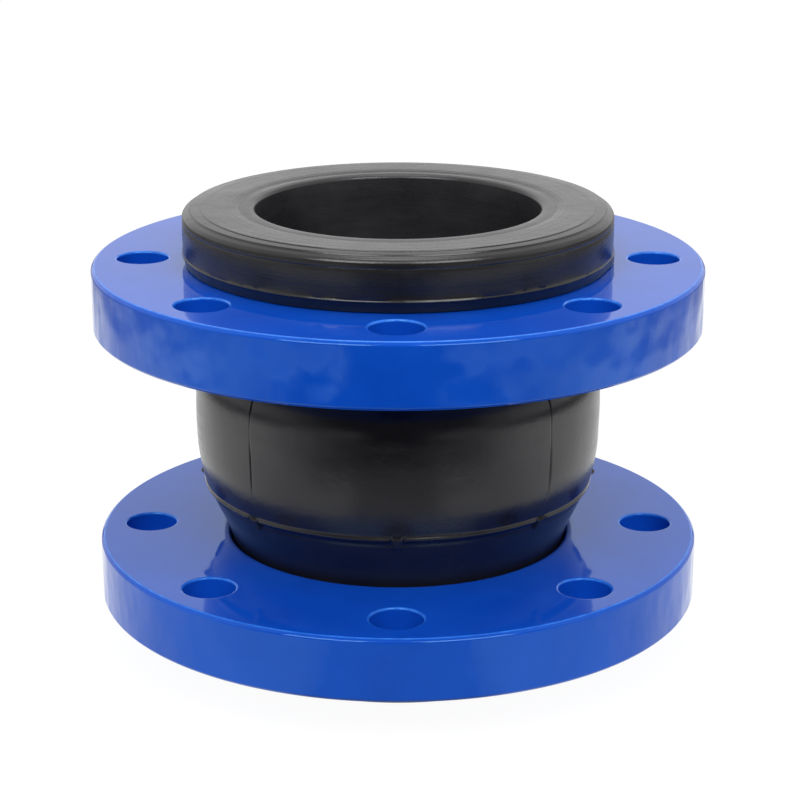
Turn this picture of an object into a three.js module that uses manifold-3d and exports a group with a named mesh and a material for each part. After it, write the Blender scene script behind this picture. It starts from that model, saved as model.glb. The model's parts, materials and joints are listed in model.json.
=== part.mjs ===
// Flanged rubber expansion joint, nominal bore 100 mm, with one arch and two loose steel flanges.
// The pipe axis is Z, and z = 0 is the lower sealing face, on which the joint stands.
// Each end of the rubber body holds steel hoops, and cord plies are turned up around them.
import * as THREE from 'three';
import { mergeVertices } from 'three/addons/utils/BufferGeometryUtils.js';
import Module from 'manifold-3d';

// Whole joint
const HEIGHT = 157.5;
const BORE_R = 50;
const CLEARANCE = 0.3; // between pieces that touch
const RUBBER_SIDES = 28; // facets around every nested rubber, cord and wire piece

// Flanges
const FLANGE_R = 107.5;
const FLANGE_BORE_R = 60.6;
const FLANGE_T = 22.5;
const FLANGE_SIDES = 56;
const FLANGE_RIM_CHAMFER = 1.5;
const FLANGE_BORE_CHAMFER = 1; // on the bead's side
const FLANGE_MOUTH_R = 69.3; // on the arch's side the bore opens out to this
const FLANGE_MOUTH_T = 4.5;
const BOLT_COUNT = 8;
const BOLT_CIRCLE_R = 90;
const BOLT_HOLE_R = 9;
const BOLT_HOLE_SIDES = 16;
const UPPER_FLANGE_DROP = 3.5; // the loose upper flange hangs this far below its bead

// Beads: the thick rubber rims that seal against the pipe flanges
const BEAD_R = 75.5;
const BEAD_T = 16;
const BEAD_FACE_R = 71; // the flat sealing face ends here
const BEAD_SHOULDER_Z = 2.2; // and the rim slopes back this far
const BEAD_FACE_T = 4.2;
const BEAD_POCKET_R = 72.4;
const TUBE_END_R = 55; // the tube's end spreads out to this, and shows as a ring in the face
const TUBE_END_RECESS = 0.5;

// Cord plies
const PLY_COUNT = 4;
const PLY_T = 0.8;
const PLY_PITCH = PLY_T + CLEARANCE;
const TURN_UP_Z = 8; // end of the innermost ply's turned-up edge

// Outer cover
const COVER_T = 2.4;
const COVER_FOOT_T = 2.4;
const COVER_FOOT_R = BEAD_POCKET_R - CLEARANCE;

// Steel hoops, four wide and two deep
const HOOP_WIRE_R = 1;
const HOOP_COLUMNS = [58.3, 60.8, 63.3, 65.8];
const HOOP_ROWS = [9.95, 12.25];

// The wall from end to end: the radius inside the first ply (core) and the inner tube's thickness,
// through the neck, up the cone to the parting line of the mould, over the crown and back down.
const WALL_STATIONS = [
  { z: 24, core: 52.6, tube: 2.3 },
  { z: 34, core: 52.9, tube: 2.4 },
  { z: 44, core: 55.7, tube: 2.7 },
  { z: 58, core: 62.2, tube: 3 },
  { z: 67, core: 64.4, tube: 3 },
  { z: 85, core: 65.3, tube: 3 },
  { z: 100, core: 64.2, tube: 3 },
  { z: 110, core: 58.6, tube: 2.8 },
  { z: 119, core: 52.9, tube: 2.4 },
  { z: 133.5, core: 52.6, tube: 2.3 },
];
const WALL_STEPS = 12;
const NECK_CORE_R = WALL_STATIONS[0].core;

const wasm = await Module();
wasm.setup();

// Materials

function makeMaterial(color, roughness, metalness) {
  return new THREE.MeshStandardMaterial({ color, roughness, metalness });
}

const flangePaint = makeMaterial(0x0d3fc4, 0.22, 0);
const coverRubber = makeMaterial(0x2b2b2e, 0.5, 0);
const tubeRubber = makeMaterial(0x1f1f22, 0.6, 0);
const fillerRubber = makeMaterial(0x38332f, 0.7, 0);
const cordFabric = makeMaterial(0xc9b88f, 0.9, 0);
const hoopSteel = makeMaterial(0xb5904f, 0.35, 1);

// Shape helpers. A section is a list of [radius, z] points around a closed outline.

function revolve(section, sides = RUBBER_SIDES) {
  const outline = section.map(([r, z]) => new THREE.Vector2(r, z));
  if (THREE.ShapeUtils.isClockWise(outline)) {
    outline.reverse();
  }
  outline.push(outline[0].clone());
  const geometry = new THREE.LatheGeometry(outline, sides);
  geometry.rotateX(Math.PI / 2);
  return geometry;
}

function turnedOver(section) {
  return section.map(([r, z]) => [r, HEIGHT - z]);
}

function toSolid(geometry) {
  const bare = geometry.clone();
  bare.deleteAttribute('normal');
  bare.deleteAttribute('uv');
  const merged = mergeVertices(bare);
  return new wasm.Manifold(new wasm.Mesh({
    numProp: 3,
    vertProperties: new Float32Array(merged.attributes.position.array),
    triVerts: new Uint32Array(merged.index.array),
  }));
}

function toGeometry(solid) {
  const mesh = solid.getMesh();
  const geometry = new THREE.BufferGeometry();
  geometry.setAttribute('position', new THREE.BufferAttribute(mesh.vertProperties, 3));
  geometry.setIndex(new THREE.BufferAttribute(mesh.triVerts, 1));
  geometry.computeVertexNormals();
  return geometry;
}

const joint = new THREE.Group();

function addPiece(name, geometry, material) {
  const mesh = new THREE.Mesh(geometry, material);
  mesh.name = name;
  joint.add(mesh);
  return mesh;
}

// The wall's middle stretch, as { z, core, tube } samples of a smooth curve through its stations

function sampleWall() {
  const points = WALL_STATIONS.map(({ z, core, tube }) => new THREE.Vector3(core, tube, z));
  const curve = new THREE.CatmullRomCurve3(points, false, 'centripetal');
  return curve.getSpacedPoints(WALL_STEPS).map((p) => ({ z: p.z, core: p.x, tube: p.y }));
}

const wall = sampleWall();

function wallFace(radiusAt) {
  return wall.map((sample) => [radiusAt(sample), sample.z]);
}

// Steel flanges: a flat ring with eight bolt holes, free to turn on the neck of the rubber body

function flangeSection() {
  const rim = FLANGE_RIM_CHAMFER;
  const lip = FLANGE_BORE_CHAMFER;
  return [
    [FLANGE_BORE_R, lip],
    [FLANGE_BORE_R + lip, 0],
    [FLANGE_R - rim, 0],
    [FLANGE_R, rim],
    [FLANGE_R, FLANGE_T - rim],
    [FLANGE_R - rim, FLANGE_T],
    [FLANGE_MOUTH_R, FLANGE_T],
    [FLANGE_BORE_R, FLANGE_T - FLANGE_MOUTH_T],
  ];
}

function makeFlange() {
  let flange = toSolid(revolve(flangeSection(), FLANGE_SIDES));
  for (let i = 0; i < BOLT_COUNT; i += 1) {
    const angle = (i / BOLT_COUNT) * Math.PI * 2;
    const drill = new THREE.CylinderGeometry(BOLT_HOLE_R, BOLT_HOLE_R, FLANGE_T * 2, BOLT_HOLE_SIDES);
    drill.rotateX(Math.PI / 2);
    drill.translate(BOLT_CIRCLE_R * Math.sin(angle), -BOLT_CIRCLE_R * Math.cos(angle), FLANGE_T / 2);
    flange = flange.subtract(toSolid(drill));
  }
  return toGeometry(flange);
}

function addFlanges() {
  const lower = addPiece('lower_flange', makeFlange(), flangePaint);
  lower.position.z = BEAD_T + CLEARANCE;
  const upper = addPiece('upper_flange', makeFlange().rotateX(Math.PI), flangePaint);
  upper.position.z = HEIGHT - BEAD_T - UPPER_FLANGE_DROP;
}

// Inner tube: the smooth lining, whose two ends show as a ring inside each sealing face

function tubeEnd() {
  return [
    [NECK_CORE_R - CLEARANCE, BEAD_FACE_T],
    [TUBE_END_R, BEAD_FACE_T],
    [TUBE_END_R, TUBE_END_RECESS],
    [BORE_R, TUBE_END_RECESS],
  ];
}

function innerTubeSection() {
  return [
    ...tubeEnd(),
    ...wallFace(({ core, tube }) => core - CLEARANCE - tube),
    ...turnedOver(tubeEnd()).reverse(),
    ...wallFace(({ core }) => core - CLEARANCE).reverse(),
  ];
}

// Cord plies: each runs the length of the wall, and is turned outwards and back up around the hoops

function plyTurnUp(index) {
  const inset = index * PLY_PITCH;
  const floor = BEAD_FACE_T + CLEARANCE + inset;
  const legR = BEAD_POCKET_R - CLEARANCE - inset;
  const neckR = NECK_CORE_R + inset;
  return [
    [neckR + PLY_T, floor + PLY_T],
    [legR - PLY_T, floor + PLY_T],
    [legR - PLY_T, TURN_UP_Z + inset],
    [legR, TURN_UP_Z + inset],
    [legR, floor],
    [neckR, floor],
  ];
}

function plySection(index) {
  const inset = index * PLY_PITCH;
  return [
    ...plyTurnUp(index),
    ...wallFace(({ core }) => core + inset),
    ...turnedOver(plyTurnUp(index)).reverse(),
    ...wallFace(({ core }) => core + inset + PLY_T).reverse(),
  ];
}

// Outer cover: the weatherproof skin of the arch, with a foot that closes the back of each bead

function coverFoot() {
  const innerR = NECK_CORE_R + PLY_COUNT * PLY_PITCH;
  return [
    [innerR + COVER_T, BEAD_T],
    [COVER_FOOT_R, BEAD_T],
    [COVER_FOOT_R, BEAD_T - COVER_FOOT_T],
    [innerR, BEAD_T - COVER_FOOT_T],
  ];
}

function outerCoverSection() {
  const inset = PLY_COUNT * PLY_PITCH;
  return [
    ...coverFoot(),
    ...wallFace(({ core }) => core + inset),
    ...turnedOver(coverFoot()).reverse(),
    ...wallFace(({ core }) => core + inset + COVER_T).reverse(),
  ];
}

// Beads: a sealing ring with a pocket in its back, the hoops in the pocket, and a hard filler

function sealingBeadSection() {
  const innerR = TUBE_END_R + CLEARANCE;
  return [
    [innerR, 0],
    [BEAD_FACE_R, 0],
    [BEAD_R, BEAD_SHOULDER_Z],
    [BEAD_R, BEAD_T],
    [BEAD_POCKET_R, BEAD_T],
    [BEAD_POCKET_R, BEAD_FACE_T],
    [innerR, BEAD_FACE_T],
  ];
}

// The filler's sloping face lies against the stepped ends of the turned-up plies
function fillerSection() {
  const innerR = BEAD_POCKET_R - CLEARANCE - (PLY_COUNT - 1) * PLY_PITCH - PLY_T;
  const top = BEAD_T - COVER_FOOT_T - CLEARANCE;
  const slopeFoot = TURN_UP_Z + CLEARANCE * Math.SQRT2 + 0.1;
  return [
    [COVER_FOOT_R, slopeFoot],
    [COVER_FOOT_R, top],
    [innerR, top],
    [innerR, slopeFoot + COVER_FOOT_R - innerR],
  ];
}

function hoopSection(r, z) {
  const corners = [0, 1, 2, 3, 4, 5];
  return corners.map((i) => {
    const angle = (i * Math.PI) / 3;
    return [r + HOOP_WIRE_R * Math.cos(angle), z + HOOP_WIRE_R * Math.sin(angle)];
  });
}

function addBead(end, place) {
  addPiece(`${end}_sealing_bead`, revolve(place(sealingBeadSection())), coverRubber);
  addPiece(`${end}_bead_filler`, revolve(place(fillerSection())), fillerRubber);
  let number = 1;
  for (const r of HOOP_COLUMNS) {
    for (const z of HOOP_ROWS) {
      addPiece(`${end}_hoop_${number}`, revolve(place(hoopSection(r, z))), hoopSteel);
      number += 1;
    }
  }
}

addFlanges();
addPiece('outer_cover', revolve(outerCoverSection()), coverRubber);
addPiece('inner_tube', revolve(innerTubeSection()), tubeRubber);
for (let index = 0; index < PLY_COUNT; index += 1) {
  addPiece(`cord_ply_${index + 1}`, revolve(plySection(index)), cordFabric);
}
addBead('lower', (section) => section);
addBead('upper', turnedOver);

export default joint;
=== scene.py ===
"""The detailed look of the rubber expansion joint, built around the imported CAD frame.

Lengths are in millimetres until a mesh is made. Angles are measured from the front, -Y, towards +X.
"""

import json
import math

import bmesh
import bpy
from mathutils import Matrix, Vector

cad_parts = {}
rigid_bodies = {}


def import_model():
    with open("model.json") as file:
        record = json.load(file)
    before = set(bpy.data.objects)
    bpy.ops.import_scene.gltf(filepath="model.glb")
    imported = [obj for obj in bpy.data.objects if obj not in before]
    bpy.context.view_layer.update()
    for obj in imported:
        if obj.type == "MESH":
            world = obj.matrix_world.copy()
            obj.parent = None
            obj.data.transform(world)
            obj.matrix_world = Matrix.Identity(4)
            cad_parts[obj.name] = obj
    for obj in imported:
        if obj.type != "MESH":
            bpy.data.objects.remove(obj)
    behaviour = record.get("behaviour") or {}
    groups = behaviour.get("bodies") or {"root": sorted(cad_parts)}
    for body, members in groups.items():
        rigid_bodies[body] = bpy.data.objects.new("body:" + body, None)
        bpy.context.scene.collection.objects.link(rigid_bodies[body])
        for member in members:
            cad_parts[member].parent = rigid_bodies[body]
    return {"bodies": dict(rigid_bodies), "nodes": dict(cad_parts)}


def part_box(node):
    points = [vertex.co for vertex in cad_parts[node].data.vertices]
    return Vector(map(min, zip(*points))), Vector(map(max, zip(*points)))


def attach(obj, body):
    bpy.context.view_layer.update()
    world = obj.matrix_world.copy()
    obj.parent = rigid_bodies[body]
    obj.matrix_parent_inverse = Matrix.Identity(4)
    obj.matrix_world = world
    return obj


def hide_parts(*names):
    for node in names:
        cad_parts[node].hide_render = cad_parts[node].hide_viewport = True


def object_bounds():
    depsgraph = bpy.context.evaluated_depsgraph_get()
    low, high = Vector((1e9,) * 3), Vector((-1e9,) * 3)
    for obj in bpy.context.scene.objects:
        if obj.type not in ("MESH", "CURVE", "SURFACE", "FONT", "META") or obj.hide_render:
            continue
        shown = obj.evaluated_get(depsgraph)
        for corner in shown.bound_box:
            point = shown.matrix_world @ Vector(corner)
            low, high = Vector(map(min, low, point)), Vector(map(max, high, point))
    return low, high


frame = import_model()
cad_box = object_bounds()

MM = 0.001
CLEARANCE = 0.3

# ---------------------------------------------------------------- sizes, read from the CAD nodes


def node_points(node):
    """Distinct (radius, height) pairs of a turned CAD node."""
    found = set()
    for v in frame["nodes"][node].data.vertices:
        radius = math.hypot(v.co.x, v.co.y) / MM
        found.add((round(radius, 2), round(v.co.z / MM, 2)))
    return sorted(found)


def node_span(node):
    low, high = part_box(node)
    return low.z / MM, high.z / MM


HEIGHT = cad_box[1].z / MM
FLANGE_R = max(r for r, z in node_points("lower_flange"))
FLANGE_BORE_R = min(r for r, z in node_points("lower_flange"))
BEAD_R = max(r for r, z in node_points("lower_sealing_bead"))
NECK_R = min(r for r, z in node_points("lower_sealing_bead"))
TUBE_END_R = max(r for r, z in node_points("inner_tube") if z < 1)
BEAD_T = node_span("lower_sealing_bead")[1]
NECK_LOW = node_span("lower_flange")[1]
NECK_HIGH = node_span("upper_flange")[0]
BEAD_GAP = HEIGHT - BEAD_T - node_span("upper_flange")[1]
cover_heights = sorted({z for r, z in node_points("outer_cover")})
WALL_LOW, WALL_HIGH = cover_heights[2], cover_heights[-3]

# The flanges' bolt holes and edges
BOLT_CIRCLE_R = 90
BOLT_HOLE_R = 9
BOLT_COUNT = 8
RIM_BEVEL = 1.1
RIM_FILLET = 0.45
EDGE_ROUNDING = 0.9
MOUTH_ROUNDING = 3.6
LIP_STEPS = 7
MOUTH_STEPS = 14
RIM_SIDES, BORE_SIDES, HOLE_SIDES = 384, 256, 72

HOOP_WIRES = 8
WIRE_SIDES = 16
CURVE_STEPS = 8
FULL_STEP = 1.25
HIDDEN_STEP = 2.5

# The mould's marks on the arch
PARTING_Z = 58
FLASH_Z = NECK_LOW - 3.9
SEAM_ANGLES = [45, 135, 225, 315]
TAB_ANGLES = [0, 45, 135, 180, 225, 315]
TIP_ANGLES = [90, 270]
LINE_ANGLES = [0, 180]

# ---------------------------------------------------------------- curves and sections


def bell(distance, width):
    return math.exp(-((distance / width) ** 2))


def ease(value, low, high):
    t = min(max((value - low) / (high - low), 0), 1)
    return t * t * (3 - 2 * t)


def wave(degrees):
    return math.sin(math.radians(degrees))


def past(angle, mark):
    """How far an angle lies past a mark, from -180 to 180 degrees."""
    return (angle - mark + 180) % 360 - 180


def round_corners(corners, steps):
    """A closed section from (radius, height, fillet) corners."""
    section = []
    for i, (r, z, fillet) in enumerate(corners):
        here = Vector((r, z))
        before = Vector(corners[i - 1][:2]) - here
        after = Vector(corners[(i + 1) % len(corners)][:2]) - here
        if not fillet:
            section.append((r, z))
            continue
        start = here + before.normalized() * fillet
        end = here + after.normalized() * fillet
        for k in range(steps + 1):
            t = k / steps
            p = start * (1 - t) ** 2 + here * 2 * t * (1 - t) + end * t * t
            section.append((p.x, p.y))
    return section


def smooth_through(points):
    """A Catmull-Rom curve through (radius, height) points, which arrives upright at both ends."""
    first, last = points[0], points[-1]
    padded = [(first[0], first[1] - 12), *points, (last[0], last[1] + 12)]
    curve = []
    for a, b, c, d in zip(padded, padded[1:], padded[2:], padded[3:]):
        for k in range(CURVE_STEPS):
            t = k / CURVE_STEPS
            weights = (
                (-t + 2 * t * t - t**3) / 2,
                (2 - 5 * t * t + 3 * t**3) / 2,
                (t + 4 * t * t - 3 * t**3) / 2,
                (-t * t + t**3) / 2,
            )
            curve.append(tuple(sum(w * p[i] for w, p in zip(weights, (a, b, c, d))) for i in (0, 1)))
    return [*curve, last]


def wall_faces(node):
    """The inner and outer face of a wall node between its two necks, as smooth curves going up."""
    heights = {}
    for r, z in node_points(node):
        heights.setdefault(z, []).append(r)
    rows = [(z, min(rs), max(rs)) for z, rs in sorted(heights.items()) if WALL_LOW <= z <= WALL_HIGH]
    inner = [(a, z) for z, a, b in rows]
    outer = [(b, z) for z, a, b in rows]
    return smooth_through(inner), smooth_through(outer)


def radius_on(curve, z):
    """The radius of a rising curve at height z."""
    for (r0, z0), (r1, z1) in zip(curve, curve[1:]):
        if z0 <= z <= z1:
            return r0 + (r1 - r0) * (z - z0) / (z1 - z0)
    return curve[0][0] if z < curve[0][1] else curve[-1][0]


def turned_over(section):
    return [(r, HEIGHT - z) for r, z in section]


# ---------------------------------------------------------------- mesh making


def turn(marks=(), step=FULL_STEP):
    """Angles in degrees for one turn, closer together beside each mark."""
    angles = {round(k * step, 3) for k in range(round(360 / step))}
    for mark in marks:
        for k in range(-11, 12):
            angles.add(round((mark + k * 0.2) % 360, 3))
    return sorted(angles)


def finish_mesh(name, bm, sharp_deg=38):
    bmesh.ops.recalc_face_normals(bm, faces=bm.faces)
    mesh = bpy.data.meshes.new(name)
    bm.to_mesh(mesh)
    bm.free()
    mesh.polygons.foreach_set("use_smooth", [True] * len(mesh.polygons))
    mesh.set_sharp_from_angle(angle=math.radians(sharp_deg))
    piece = bpy.data.objects.new(name, mesh)
    bpy.context.scene.collection.objects.link(piece)
    return piece


def lathe(name, section, angles, relief=None):
    """Turns a closed section about Z. relief(angle, r, z) is how proud of it a point stands."""
    bm = bmesh.new()
    rings = []
    for angle in angles:
        a = math.radians(angle)
        ring = []
        for r, z in section:
            reach = (r + (relief(angle, r, z) if relief else 0)) * MM
            ring.append(bm.verts.new((reach * math.sin(a), -reach * math.cos(a), z * MM)))
        rings.append(ring)
    for ring, following in zip(rings, rings[1:] + rings[:1]):
        for i in range(len(section)):
            j = (i + 1) % len(section)
            bm.faces.new((ring[i], following[i], following[j], ring[j]))
    return finish_mesh(name, bm)


def upright_wall(bm, centre, profile, count):
    """Rings about an upright axis, one for each (radius, height) of the profile, joined by quads."""
    rings = []
    for r, z in profile:
        ring = []
        for k in range(count):
            a = 2 * math.pi * k / count
            spot = (centre[0] + r * math.sin(a), centre[1] - r * math.cos(a), z)
            ring.append(bm.verts.new(Vector(spot) * MM))
        rings.append(ring)
    for ring, following in zip(rings, rings[1:]):
        for k in range(count):
            n = (k + 1) % count
            bm.faces.new((ring[k], ring[n], following[n], following[k]))
    return rings


def loop_edges(bm, ring):
    return [bm.edges.get((ring[k - 1], ring[k])) for k in range(len(ring))]


def hole_profile(low, high):
    """A bolt hole's wall, down from the top face to the bottom face, with both edges rounded."""
    wide = BOLT_HOLE_R + 2 * EDGE_ROUNDING
    corners = [
        (wide, high, 0),
        (BOLT_HOLE_R, high, EDGE_ROUNDING),
        (BOLT_HOLE_R, low, EDGE_ROUNDING),
        (wide, low, 0),
    ]
    return round_corners(corners, LIP_STEPS)[1:-1]


def rim_profile(low, high):
    """The flange's rim, with a small bevel whose own edges are soft."""
    upper = [
        (FLANGE_R - 4, high, 0),
        (FLANGE_R - RIM_BEVEL, high, RIM_FILLET),
        (FLANGE_R, high - RIM_BEVEL, RIM_FILLET),
    ]
    lower = [(r, low + high - z, fillet) for r, z, fillet in reversed(upper)]
    return round_corners(upper + lower, LIP_STEPS)[1:-1]


def bore_profile(low, high, mouth_up):
    """The bore: a small rounding on the bead's side and a wide one on the arch's side."""
    corners = [
        (FLANGE_BORE_R + MOUTH_ROUNDING + 3, high, 0),
        (FLANGE_BORE_R, high, MOUTH_ROUNDING),
        (FLANGE_BORE_R, low, EDGE_ROUNDING),
        (FLANGE_BORE_R + 3, low, 0),
    ]
    path = round_corners(corners, MOUTH_STEPS)[1:-1]
    return path if mouth_up else [(r, low + high - z) for r, z in reversed(path)]


def make_flange(name, node, mouth_up):
    """A flat ring with bolt holes. The lip attribute marks the rim's and the holes' edges, where the
    enamel carries a painted highlight.
    """
    low, high = node_span(node)
    bm = bmesh.new()
    lip = bm.verts.layers.float.new("lip")
    rim = upright_wall(bm, (0, 0), rim_profile(low, high), RIM_SIDES)
    bore = upright_wall(bm, (0, 0), bore_profile(low, high, mouth_up), BORE_SIDES)
    holes = []
    for i in range(BOLT_COUNT):
        a = 2 * math.pi * i / BOLT_COUNT
        centre = (BOLT_CIRCLE_R * math.sin(a), -BOLT_CIRCLE_R * math.cos(a))
        holes.append(upright_wall(bm, centre, hole_profile(low, high), HOLE_SIDES))
    for end in (0, -1):
        edges = [edge for rings in (rim, bore, *holes) for edge in loop_edges(bm, rings[end])]
        bmesh.ops.triangle_fill(bm, use_beauty=True, use_dissolve=False, edges=edges)
    for rings in (rim, *holes):
        for k, ring in enumerate(rings):
            depth = min(k, len(rings) - 1 - k, LIP_STEPS) / LIP_STEPS
            for v in ring:
                v[lip] = math.sin(math.pi * depth)
    piece = finish_mesh(name, bm, 60)
    normals = piece.modifiers.new("even_normals", "WEIGHTED_NORMAL")
    normals.weight = 100
    return piece


# ---------------------------------------------------------------- the rubber body


def arch_relief(outer):
    """The mould's parting ring, flash line, seams, tabs and tips on the cover's outer face."""

    def relief(angle, r, z):
        if r < radius_on(outer, z) - 1 or z < BEAD_T + 0.1 or z > HEIGHT - BEAD_T - 0.1:
            return 0
        arc = math.radians(1) * r
        ring_z = PARTING_Z + 0.16 * wave(3 * angle + 40) + 0.08 * wave(11 * angle)
        thickness = 0.78 + 0.1 * wave(7 * angle + 60)
        height = 1.15 * thickness * bell(z - ring_z, 0.98) - 0.3 * bell(z - ring_z + 2.1, 0.7)
        torn = 0.2 + 0.8 * abs(wave(angle))
        height += torn * (0.32 * bell(z - FLASH_Z, 0.22) + 0.12 * bell(z - FLASH_Z - 1.1, 0.4))
        for mark in SEAM_ANGLES:
            s = past(angle, mark) * arc
            if abs(s) < 6:
                along = ease(z, ring_z - 0.5, ring_z + 0.5) * (1 - ease(z, 116, 120))
                bold = 0.6 + 0.4 * ease(z, 68, 73)
                s += 0.25 * wave(13 * z)
                height += (0.62 * bell(s, 0.7) - 0.6 * bell(s - 1.3, 0.45)) * along * bold
        for mark in TAB_ANGLES:
            s = past(angle, mark) * arc
            if abs(s) < 6:
                tab = ease(1.75 - abs(s), 0, 0.5)
                groove = bell(abs(s) - 2.1, 0.4) * bell(z - ring_z, 1.2)
                hang = ease(z, ring_z - 4.1, ring_z - 3.5) * (1 - ease(z, ring_z + 0.1, ring_z + 0.7))
                height = height * (1 - tab) * (1 - 0.8 * groove) + 1.25 * tab * hang
        for mark in TIP_ANGLES:
            s = past(angle, mark) * arc
            if abs(s) < 8:
                height += 1.6 * bell(s, 1.7) * bell(z - ring_z - 0.8, 1.5)
                height += 1.1 * bell(s + 2.5, 1.3) * ease(z, 46.5, 48) * (1 - ease(z, 52.5, 54))
        for mark in LINE_ANGLES:
            s = past(angle, mark) * arc
            if abs(s) < 6:
                height += 0.2 * bell(s, 0.45) * ease(z, 42, 44) * (1 - ease(z, ring_z - 1, ring_z))
        swell = wave(2 * angle + 3 * z) + 0.6 * wave(5 * angle - 7 * z)
        dents = wave(9 * angle + 11 * z) * wave(6 * z - 4 * angle + 25)
        middle = ease(z, NECK_LOW + 1, NECK_LOW + 8) * (1 - ease(z, 104, 112))
        return height + (0.07 * swell + 0.05 * dents) * middle

    return relief


def cover_rows():
    """Heights of the cover's rows, close together at the flash line and the parting ring."""
    rows = set()
    for low, high, step in (
        (BEAD_T, 32, 1.5),
        (32, 38, 0.2),
        (38, 50, 1.0),
        (50, 62, 0.25),
        (62, HEIGHT - BEAD_T, 1.5),
    ):
        count = max(round((high - low) / step), 1)
        rows |= {round(low + (high - low) * k / count, 3) for k in range(count + 1)}
    return sorted(rows)


def make_cover():
    inner, outer = wall_faces("outer_cover")
    foot_r = max(r for r, z in node_points("outer_cover") if z < BEAD_T)
    foot_z = min(z for r, z in node_points("outer_cover"))
    foot = [(inner[0][0], foot_z), (foot_r, foot_z), (foot_r, BEAD_T), (outer[0][0] + 1, BEAD_T)]
    skin = [(radius_on(outer, z), z) for z in cover_rows()[1:-1]]
    section = [*foot, *skin, *reversed(turned_over(foot)), *inner[::-3]]
    return lathe("outer_cover_fine", section, turn(TAB_ANGLES + TIP_ANGLES), arch_relief(outer))


def make_tube():
    """The lining. Its two ends spread out and show as a ring inside each sealing face."""
    inner, outer = wall_faces("inner_tube")
    bore = inner[0][0]
    spread_z = max(z for r, z in node_points("inner_tube") if z < WALL_LOW and r > TUBE_END_R - 0.1)
    edge = NECK_R - 0.05
    low_end = [
        (outer[0][0], spread_z),
        (edge, spread_z),
        (edge, 0.47),
        (edge - 0.4, 0.42),
        (edge - 1.2, 0.33),
        (bore + 2.6, 0.28),
        (bore + 1.7, 0.32),
        (bore + 1.4, 0.46),
        (bore + 1.15, 0.44),
        (bore + 0.8, 0.6),
        (bore + 0.4, 0.95),
        (bore + 0.1, 1.4),
        (bore, 1.9),
    ]
    section = [*low_end, *inner, *reversed(turned_over(low_end)), *reversed(outer)]
    return lathe("inner_tube_fine", section, turn())


def make_ply(number):
    """A cord ply, turned out under the hoops at both ends and back up beside them."""
    node = f"cord_ply_{number}"
    inner, outer = wall_faces(node)
    points = node_points(node)
    floor = min(z for r, z in points)
    thick = outer[0][0] - inner[0][0]
    leg_r = max(r for r, z in points if z < WALL_LOW)
    leg_top = max(z for r, z in points if z < WALL_LOW)
    turn_up = round_corners(
        [
            (outer[0][0], floor + thick, 0),
            (leg_r - thick, floor + thick, 0),
            (leg_r - thick, leg_top, 0.2),
            (leg_r, leg_top, 0.2),
            (leg_r, floor, 0.15),
            (inner[0][0], floor, 0.15),
        ],
        3,
    )
    section = [*turn_up, *inner, *reversed(turned_over(turn_up)), *reversed(outer)]
    return lathe(f"{node}_fine", section, turn(step=HIDDEN_STEP))


# Fine rings in the sealing face as (radius, depth, width), then the steps of the shoulder outside it
FACE_RINGS = [
    (55.7, 0.48, 1.25),
    (57.6, 0.1, 0.7),
    (59.4, 0.05, 0.4),
    (62.2, 0.03, 0.4),
    (66.5, 0.03, 0.5),
]
SHOULDER_R = 68.9
SHOULDER = [
    (0.0, 0.0),
    (0.15, 0.04),
    (0.3, 0.26),
    (0.55, 0.3),
    (3.5, 0.34),
    (3.85, 0.44),
    (4.0, 0.9),
    (4.3, 1.17),
    (5.3, 1.45),
    (6.0, 1.95),
    (6.4, 2.6),
    (6.5, 2.95),
]


def bead_section(skirt):
    """The lower sealing bead: face with fine rings, stepped shoulder, side, lip and flash skirt."""
    points = node_points("lower_sealing_bead")
    pocket_r = max(r for r, z in points if BEAD_T > z > 3 and r < BEAD_R - 1)
    pocket_z = max(z for r, z in points if r < NECK_R + 0.1)
    face = []
    r = NECK_R
    while r < SHOULDER_R:
        depth = sum(d * bell(r - ring_r, w) for ring_r, d, w in FACE_RINGS)
        face.append((r, depth))
        r += 0.2
    shoulder = [(min(SHOULDER_R + reach, BEAD_R), z) for reach, z in SHOULDER]
    side = [
        (BEAD_R - 0.12, 3.15),
        (BEAD_R - 0.04, 3.5),
        (BEAD_R, 4.3),
        (BEAD_R - 0.12, 4.6),
        (BEAD_R - 0.02, 4.9),
        (BEAD_R, 6.6),
        (BEAD_R + 0.02, 10.0),
        (BEAD_R - 0.1, 12.6),
        (BEAD_R, 14.2),
        (BEAD_R + 0.05, 15.1),
        (BEAD_R + 0.26, 15.35),
        (BEAD_R + 0.28, 15.6),
        (BEAD_R + 0.15, 15.8),
        (BEAD_R - 0.1, BEAD_T),
    ]
    hanging = [
        (BEAD_R - 0.2, BEAD_T + 0.1),
        (BEAD_R - 0.75, BEAD_T + skirt - 0.3),
        (BEAD_R - 0.95, BEAD_T + skirt),
        (BEAD_R - 1.8, BEAD_T + skirt),
        (BEAD_R - 2.0, BEAD_T),
    ]
    back = [(pocket_r, BEAD_T), (pocket_r, pocket_z), (NECK_R, pocket_z)]
    return [*face, *shoulder, *side, *(hanging if skirt else []), *back]


def flash_relief(angle, r, z):
    """The upper bead's lip and skirt, ragged as torn flash is, with one flap at the right."""
    depth = HEIGHT - z
    if depth < 14.9 or r < BEAD_R - 1:
        return 0
    ragged = wave(9 * angle) + 0.7 * wave(23 * angle + 50) + 0.5 * wave(61 * angle)
    return 0.08 * ragged + bell(past(angle, 84), 6) * ease(depth, 15.2, 17)


def filler_section():
    points = node_points("lower_bead_filler")
    inner_r, outer_r = points[0][0], points[-1][0]
    heights = [z for r, z in points if r == inner_r]
    outer_heights = [z for r, z in points if r == outer_r]
    corners = [
        (outer_r, min(outer_heights), 0.2),
        (outer_r, max(outer_heights), 0.4),
        (inner_r, max(heights), 0.4),
        (inner_r, min(heights), 0.3),
    ]
    return round_corners(corners, 3)


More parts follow.
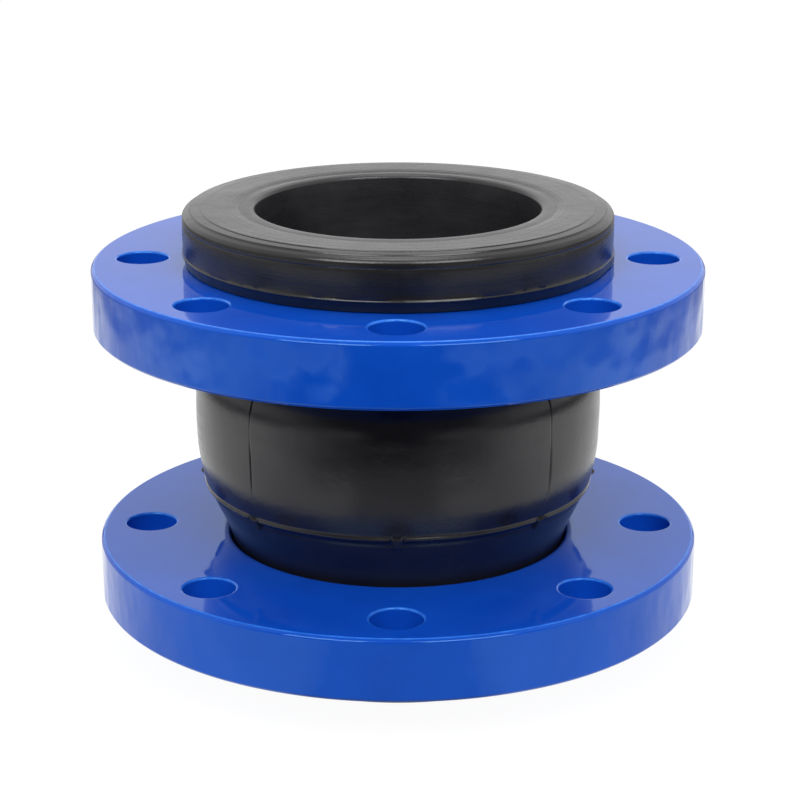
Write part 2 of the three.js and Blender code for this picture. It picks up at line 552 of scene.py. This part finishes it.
def hoop_section(number):
    """A round wire in the middle of its CAD ring."""
    points = node_points(f"lower_hoop_{number}")
    low_r, high_r = points[0][0], points[-1][0]
    heights = [z for r, z in points]
    wire = (high_r - low_r) / 2
    centre_z = (min(heights) + max(heights)) / 2
    centre_r = (low_r + high_r) / 2
    around = [2 * math.pi * k / WIRE_SIDES for k in range(WIRE_SIDES)]
    return [(centre_r + wire * math.cos(a), centre_z + wire * math.sin(a)) for a in around]


# ---------------------------------------------------------------- materials


def put(tree, kind, inputs=None, **settings):
    """Adds a node. inputs maps a socket to a value, or to the socket that feeds it."""
    node = tree.nodes.new(kind)
    for key, value in settings.items():
        setattr(node, key, value)
    for key, value in (inputs or {}).items():
        if isinstance(value, bpy.types.NodeSocket):
            tree.links.new(value, node.inputs[key])
        else:
            node.inputs[key].default_value = value
    return node


def new_material(name, **fixed):
    """A material, its node tree and its Principled shader with the fixed inputs set."""
    material = bpy.data.materials.new(name)
    material.use_nodes = True
    tree = material.node_tree
    shader = tree.nodes["Principled BSDF"]
    for key, value in fixed.items():
        shader.inputs[key.replace("_", " ")].default_value = value
    return material, tree, shader


def noise(tree, vector, scale, detail, roughness=0.55):
    inputs = {"Vector": vector, "Scale": scale, "Detail": detail, "Roughness": roughness}
    return put(tree, "ShaderNodeTexNoise", inputs).outputs["Fac"]


def stretched(tree, vector, scale):
    return put(tree, "ShaderNodeMapping", {"Vector": vector, "Scale": scale}).outputs["Vector"]


def ramp(tree, value, low, high, out_low=0.0, out_high=1.0):
    inputs = {"Value": value, "From Min": low, "From Max": high, "To Min": out_low, "To Max": out_high}
    return put(tree, "ShaderNodeMapRange", inputs).outputs["Result"]


def maths(tree, operation, first, second=0.0):
    return put(tree, "ShaderNodeMath", {0: first, 1: second}, operation=operation).outputs[0]


def mix_colours(tree, share, first, second):
    inputs = {0: share, 6: first, 7: second}
    return put(tree, "ShaderNodeMix", inputs, data_type="RGBA").outputs[2]


def bump(tree, height, distance, strength, normal=None):
    inputs = {"Height": height, "Distance": distance, "Strength": strength}
    if normal:
        inputs["Normal"] = normal
    return put(tree, "ShaderNodeBump", inputs).outputs["Normal"]


def rings_value(tree, position, scale):
    """Irregular fine rings: lines around the pipe axis, by radius on faces and by height on sides."""
    parts = put(tree, "ShaderNodeSeparateXYZ", {"Vector": position}).outputs
    squares = [maths(tree, "MULTIPLY", parts[i], parts[i]) for i in (0, 1)]
    along = maths(tree, "ADD", maths(tree, "SQRT", maths(tree, "ADD", *squares)), parts[2])
    inputs = {"W": along, "Scale": scale, "Detail": 3.0}
    return put(tree, "ShaderNodeTexNoise", inputs, noise_dimensions="1D").outputs["Fac"]


PAINT_THICK = (0.0028, 0.063, 0.48)
PAINT_THIN = (0.0040, 0.076, 0.54)
# Lighter blue mixed onto the rim's and holes' edges: a painted highlight.
LIP_HIGHLIGHT_BLUE = (0.035, 0.22, 0.85)


def paint_material():
    """Glossy blue enamel with orange peel, soft runs down the rim and a painted highlight of lighter
    blue on the lips.
    """
    material, tree, shader = new_material("flange_enamel", IOR=1.5, Specular_Tint=(0.5, 1.0, 1.0, 1.0))
    coordinates = put(tree, "ShaderNodeTexCoord").outputs
    place = coordinates["Object"]
    facing = put(tree, "ShaderNodeSeparateXYZ", {0: coordinates["Normal"]}).outputs
    facing_up = maths(tree, "ABSOLUTE", facing[2])
    cloud = noise(tree, place, 38, 5)
    lip = put(tree, "ShaderNodeAttribute", attribute_name="lip").outputs["Fac"]
    even = mix_colours(tree, ramp(tree, cloud, 0.35, 0.7), (*PAINT_THICK, 1), (*PAINT_THIN, 1))
    # The lips get a painted highlight: lighter blue, by the lip mask and a noise.
    lip_highlight_share = maths(tree, "MULTIPLY", lip, ramp(tree, noise(tree, place, 210, 6), 0.3, 0.7, 0.35, 1.0))
    tree.links.new(mix_colours(tree, lip_highlight_share, even, (*LIP_HIGHLIGHT_BLUE, 1)), shader.inputs["Base Color"])
    smear = noise(tree, stretched(tree, place, (26, 26, 9)), 1, 5)
    tree.links.new(ramp(tree, smear, 0.35, 0.75, 0.03, 0.09), shader.inputs["Roughness"])
    runs = noise(tree, stretched(tree, place, (80, 80, 60)), 1, 1.4, 0.4)
    normal = bump(tree, runs, 0.0008, ramp(tree, facing_up, 0.2, 0.9, 1.0, 0.04))
    sags = noise(tree, stretched(tree, place, (230, 230, 60)), 1, 2)
    normal = bump(tree, sags, 0.00012, ramp(tree, facing_up, 0.2, 0.9, 0.6, 0.1), normal)
    normal = bump(tree, noise(tree, place, 1300, 2), 0.00002, 0.3, normal)
    tree.links.new(normal, shader.inputs["Normal"])
    return material


def rubber_material(name, dark, bloom, sheen, rings=0.0, ior=1.5):
    """Moulded rubber: near-black, with a patchy grey bloom, fine grain and faint turned lines.
    sheen is the roughness where it is polished and where it is dull."""
    material, tree, shader = new_material(name, IOR=ior)
    place = put(tree, "ShaderNodeTexCoord").outputs["Object"]
    patch = noise(tree, place, 26, 6, 0.62)
    rubbed = noise(tree, stretched(tree, place, (60, 60, 420)), 1, 5, 0.6)
    speck = noise(tree, place, 1400, 3, 0.7)
    dulled = ramp(tree, rubbed, 0.3, 0.75, 0.45, 1.0)
    share = maths(tree, "MULTIPLY", ramp(tree, patch, 0.38, 0.72), dulled)
    colour = mix_colours(tree, share, (*dark, 1), (*bloom, 1))
    dust = tuple(c * 2.2 + 0.01 for c in bloom)
    colour = mix_colours(tree, ramp(tree, speck, 0.66, 0.8, 0, 0.5), colour, (*dust, 1))
    tree.links.new(colour, shader.inputs["Base Color"])
    parts = maths(tree, "MULTIPLY", patch, 0.6), maths(tree, "MULTIPLY", rubbed, 0.4)
    dullness = ramp(tree, maths(tree, "ADD", *parts), 0.35, 0.7, *sheen)
    tree.links.new(dullness, shader.inputs["Roughness"])
    normal = bump(tree, noise(tree, place, 70, 3), 0.0006, 0.35)
    normal = bump(tree, noise(tree, place, 900, 4, 0.6), 0.00006, 0.55, normal)
    if rings:
        normal = bump(tree, rings_value(tree, place, 1500), 0.00006, rings, normal)
    tree.links.new(normal, shader.inputs["Normal"])
    return material


CORDS_PER_TURN = 300
CORDS_PER_METRE = 700


def cord_material(name, slant):
    """Rubber-dipped tyre cord: thin parallel cords on a slant, with dark rubber between them."""
    material, tree, shader = new_material(name, IOR=1.45)
    place = put(tree, "ShaderNodeTexCoord").outputs["Object"]
    parts = put(tree, "ShaderNodeSeparateXYZ", {"Vector": place}).outputs
    turns = maths(tree, "DIVIDE", maths(tree, "ARCTAN2", parts[0], parts[1]), 2 * math.pi)
    around = maths(tree, "MULTIPLY", turns, CORDS_PER_TURN)
    climb = maths(tree, "MULTIPLY", parts[2], CORDS_PER_METRE * slant)
    phase = maths(tree, "MULTIPLY", maths(tree, "ADD", around, climb), math.pi)
    cords = maths(tree, "ABSOLUTE", maths(tree, "SINE", phase))
    twist = noise(tree, place, 2600, 3)
    shade = ramp(tree, twist, 0.35, 0.7)
    fibre = mix_colours(tree, shade, (0.36, 0.27, 0.14, 1), (0.58, 0.47, 0.29, 1))
    colour = mix_colours(tree, ramp(tree, cords, 0.25, 0.6), (0.03, 0.025, 0.02, 1), fibre)
    tree.links.new(colour, shader.inputs["Base Color"])
    tree.links.new(ramp(tree, twist, 0.3, 0.7, 0.7, 0.95), shader.inputs["Roughness"])
    normal = bump(tree, cords, 0.00025, 0.8)
    tree.links.new(bump(tree, twist, 0.00006, 0.6, normal), shader.inputs["Normal"])
    return material


def wire_material():
    """Bronze-plated bead wire with drawing marks along it and dull patches."""
    material, tree, shader = new_material("hoop_wire_bronze", Metallic=1.0)
    place = put(tree, "ShaderNodeTexCoord").outputs["Object"]
    marks = rings_value(tree, place, 4200)
    dull = noise(tree, place, 130, 5)
    shade = ramp(tree, dull, 0.35, 0.7)
    colour = mix_colours(tree, shade, (0.62, 0.40, 0.17, 1), (0.36, 0.22, 0.11, 1))
    tree.links.new(colour, shader.inputs["Base Color"])
    tree.links.new(ramp(tree, dull, 0.3, 0.7, 0.24, 0.45), shader.inputs["Roughness"])
    tree.links.new(bump(tree, marks, 0.00003, 0.6), shader.inputs["Normal"])
    return material


MATERIALS = {
    "flange_paint": paint_material(),
    "cover_rubber": rubber_material(
        "arch_rubber", (0.0085, 0.0082, 0.0110), (0.0188, 0.0182, 0.0222), (0.17, 0.31)
    ),
    "bead_rubber": rubber_material(
        "sealing_rubber", (0.0085, 0.0082, 0.0088), (0.021, 0.0205, 0.0205), (0.19, 0.34), 0.8, 1.58
    ),
    "tube_rubber": rubber_material(
        "lining_rubber", (0.0155, 0.0150, 0.0172), (0.0320, 0.0310, 0.0340), (0.22, 0.38), 0.4, 1.55
    ),
    "filler_rubber": rubber_material(
        "filler_rubber", (0.03, 0.025, 0.021), (0.07, 0.06, 0.05), (0.6, 0.8)
    ),
    "hoop_wire": wire_material(),
}
CORDS = [cord_material("ply_cord_right", 1), cord_material("ply_cord_left", -1)]

# ---------------------------------------------------------------- pieces on their bodies


def follow_upper_end(piece):
    """Bends a wall piece: still at the lower neck and moving with the upper end at the other."""
    rows = {}
    for v in piece.data.vertices:
        rows.setdefault(round(v.co.z / MM, 1), []).append(v.index)
    group = piece.vertex_groups.new(name="upper_end_share")
    for z, members in rows.items():
        straight = min(max((z - NECK_LOW) / (NECK_HIGH - NECK_LOW), 0), 1)
        share = ease(z, NECK_LOW, NECK_HIGH) * 0.35 + 0.65 * straight
        if share > 0:
            group.add(members, share, "REPLACE")
    hook = piece.modifiers.new("upper_end_pull", "HOOK")
    hook.object = frame["bodies"]["upper_end"]
    hook.vertex_group = group.name
    hook.falloff_type = "NONE"
    hook.strength = 1.0


def place(piece, body, node, slot, material):
    piece.data.materials.append(material)
    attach(piece, body)
    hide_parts(node)
    return piece


for end in ("lower", "upper"):
    body = f"{end}_end"
    over = turned_over if end == "upper" else list
    flange = make_flange(f"{end}_flange_fine", f"{end}_flange", end == "lower")
    place(flange, f"{end}_flange", f"{end}_flange", "flange_paint", MATERIALS["flange_paint"])
    skirt = BEAD_GAP - CLEARANCE if end == "upper" else 0
    ragged = flash_relief if end == "upper" else None
    bead = lathe(f"{end}_sealing_bead_fine", over(bead_section(skirt)), turn(), ragged)
    place(bead, body, f"{end}_sealing_bead", "bead_rubber", MATERIALS["bead_rubber"])
    filler = lathe(f"{end}_bead_filler_fine", over(filler_section()), turn(step=HIDDEN_STEP))
    place(filler, body, f"{end}_bead_filler", "filler_rubber", MATERIALS["filler_rubber"])
    for number in range(1, HOOP_WIRES + 1):
        hoop = lathe(f"{end}_hoop_{number}_fine", over(hoop_section(number)), turn(step=HIDDEN_STEP))
        place(hoop, body, f"{end}_hoop_{number}", "hoop_wire", MATERIALS["hoop_wire"])

wall_pieces = [
    place(make_cover(), "lower_end", "outer_cover", "cover_rubber", MATERIALS["cover_rubber"]),
    place(make_tube(), "lower_end", "inner_tube", "tube_rubber", MATERIALS["tube_rubber"]),
]
for number in range(1, 5):
    node = f"cord_ply_{number}"
    wall_pieces.append(place(make_ply(number), "lower_end", node, "ply_cord", CORDS[number % 2]))
for piece in wall_pieces:
    follow_upper_end(piece)

# ---------------------------------------------------------------- studio, in metres

FLOOR_R = 8
LIGHT_AIM = (0, 0, 0.08)
LENS = 103.1
CAMERA_SPOT = (0.00455, -0.7844, 0.3340)
CAMERA_AIM = (0.0007, 0, 0.0854)


def azimuth_from_front(tree, vector):
    parts = put(tree, "ShaderNodeSeparateXYZ", {"Vector": vector}).outputs
    away = maths(tree, "MULTIPLY", parts[1], -1.0)
    return maths(tree, "ABSOLUTE", maths(tree, "ARCTAN2", parts[0], away)), parts[2]


def angle_step(tree, angle, low_deg, high_deg, out_high=1.0):
    return soft_step(tree, angle, math.radians(low_deg), math.radians(high_deg), out_high)


def soft_step(tree, value, low, high, out_high=1.0):
    inputs = {"Value": value, "From Min": low, "From Max": high, "To Min": 0.0, "To Max": out_high}
    return put(tree, "ShaderNodeMapRange", inputs, interpolation_type="SMOOTHSTEP").outputs["Result"]


def make_floor():
    """A wide pale floor. It looks white, and the object sees it dimmer straight in front.
    The object also sees a belt of it, as far out as the arch reflects, that brightens gently
    from the front to the sides. Nearer and farther the change is sharp."""
    bm = bmesh.new()
    bmesh.ops.create_circle(bm, cap_ends=True, segments=96, radius=FLOOR_R)
    mesh = bpy.data.meshes.new("floor")
    bm.to_mesh(mesh)
    bm.free()
    floor = bpy.data.objects.new("floor", mesh)
    bpy.context.scene.collection.objects.link(floor)
    material = bpy.data.materials.new("pale_floor")
    material.use_nodes = True
    tree = material.node_tree
    tree.nodes.clear()
    place = put(tree, "ShaderNodeTexCoord").outputs["Object"]
    angle, _ = azimuth_from_front(tree, place)
    reach = put(tree, "ShaderNodeVectorMath", {0: place}, operation="LENGTH").outputs["Value"]
    front = soft_step(tree, reach, 0.42, 0.24, 0.4)
    sharp = angle_step(tree, angle, 12, 25, 0.86)
    fall = ramp(tree, reach, 0.25, 0.5, 0.2, -0.3)
    beside = maths(tree, "MULTIPLY", fall, angle_step(tree, angle, 51.57, 85.94))
    sharp = maths(tree, "ADD", sharp, beside)
    sharp = maths(tree, "ADD", sharp, angle_step(tree, angle, 147, 152, 0.6))
    sharp = maths(tree, "MULTIPLY", sharp, ramp(tree, reach, 0.5, 0.75, 1.0, 0.4))
    gentle = angle_step(tree, angle, 22, 76, 1.34)
    gentle = maths(tree, "SUBTRACT", gentle, angle_step(tree, angle, 84, 112, 0.3))
    belt_edges = soft_step(tree, reach, 0.24, 0.32), soft_step(tree, reach, 0.56, 0.46)
    belt = maths(tree, "MULTIPLY", *belt_edges)
    sides = put(tree, "ShaderNodeMix", {0: belt, 2: sharp, 3: gentle}).outputs[0]
    seen = maths(tree, "ADD", maths(tree, "MAXIMUM", front, sides), 0.03)
    bounced = put(tree, "ShaderNodeEmission", {"Color": (1, 1, 1, 1), "Strength": seen})
    shaded = put(tree, "ShaderNodeBsdfDiffuse", {"Color": (0.8, 0.8, 0.8, 1)})
    white = put(tree, "ShaderNodeEmission", {"Color": (1, 1, 1, 1), "Strength": 1.04})
    looked_at = put(tree, "ShaderNodeMixShader", {0: 0.08, 1: white.outputs[0], 2: shaded.outputs[0]})
    ray = put(tree, "ShaderNodeLightPath").outputs["Is Camera Ray"]
    both = put(tree, "ShaderNodeMixShader", {0: ray, 1: bounced.outputs[0], 2: looked_at.outputs[0]})
    put(tree, "ShaderNodeOutputMaterial", {"Surface": both.outputs[0]})
    mesh.materials.append(material)


def make_surroundings():
    """A white tent, open and dim straight in front of the object."""
    world = bpy.data.worlds.new("white_tent")
    bpy.context.scene.world = world
    world.use_nodes = True
    tree = world.node_tree
    tree.nodes.clear()
    direction = put(tree, "ShaderNodeTexCoord").outputs["Generated"]
    angle, rise = azimuth_from_front(tree, direction)
    side = angle_step(tree, angle, 34, 84, 0.72)
    back = angle_step(tree, angle, 115, 150, 0.18)
    top = soft_step(tree, rise, 0.55, 0.85, 0.25)
    walls = maths(tree, "ADD", side, back)
    strength = maths(tree, "ADD", maths(tree, "MAXIMUM", walls, top), 0.08)
    light = put(tree, "ShaderNodeBackground", {"Strength": strength})
    white = put(tree, "ShaderNodeBackground", {"Strength": 1.0})
    for node in (light, white):
        node.inputs["Color"].default_value = (1, 1, 1, 1)
    ray = put(tree, "ShaderNodeLightPath").outputs["Is Camera Ray"]
    both = put(tree, "ShaderNodeMixShader", {0: ray, 1: light.outputs[0], 2: white.outputs[0]})
    put(tree, "ShaderNodeOutputWorld", {"Surface": both.outputs[0]})


def aim_at(piece, target):
    piece.rotation_euler = (Vector(target) - piece.location).to_track_quat("-Z", "Y").to_euler()


def add_softbox(name, spot, size, power):
    light = bpy.data.lights.new(name, "AREA")
    light.shape = "RECTANGLE"
    light.size = light.size_y = size
    light.energy = power
    lamp = bpy.data.objects.new(name, light)
    bpy.context.scene.collection.objects.link(lamp)
    lamp.location = spot
    aim_at(lamp, LIGHT_AIM)


def make_camera():
    camera = bpy.data.cameras.new("camera")
    camera.sensor_width = 36
    camera.lens = LENS
    viewer = bpy.data.objects.new("camera", camera)
    bpy.context.scene.collection.objects.link(viewer)
    viewer.location = CAMERA_SPOT
    aim_at(viewer, CAMERA_AIM)
    bpy.context.scene.camera = viewer


make_floor()
make_surroundings()
add_softbox("left_softbox", (-0.6, -1.15, 1.2), 0.9, 12.5)
add_softbox("right_softbox", (0.6, -1.15, 1.2), 0.9, 12.5)
add_softbox("top_softbox", (0.0, 0.1, 1.45), 0.6, 3)
make_camera()
bpy.context.scene.view_settings.view_transform = "Standard"
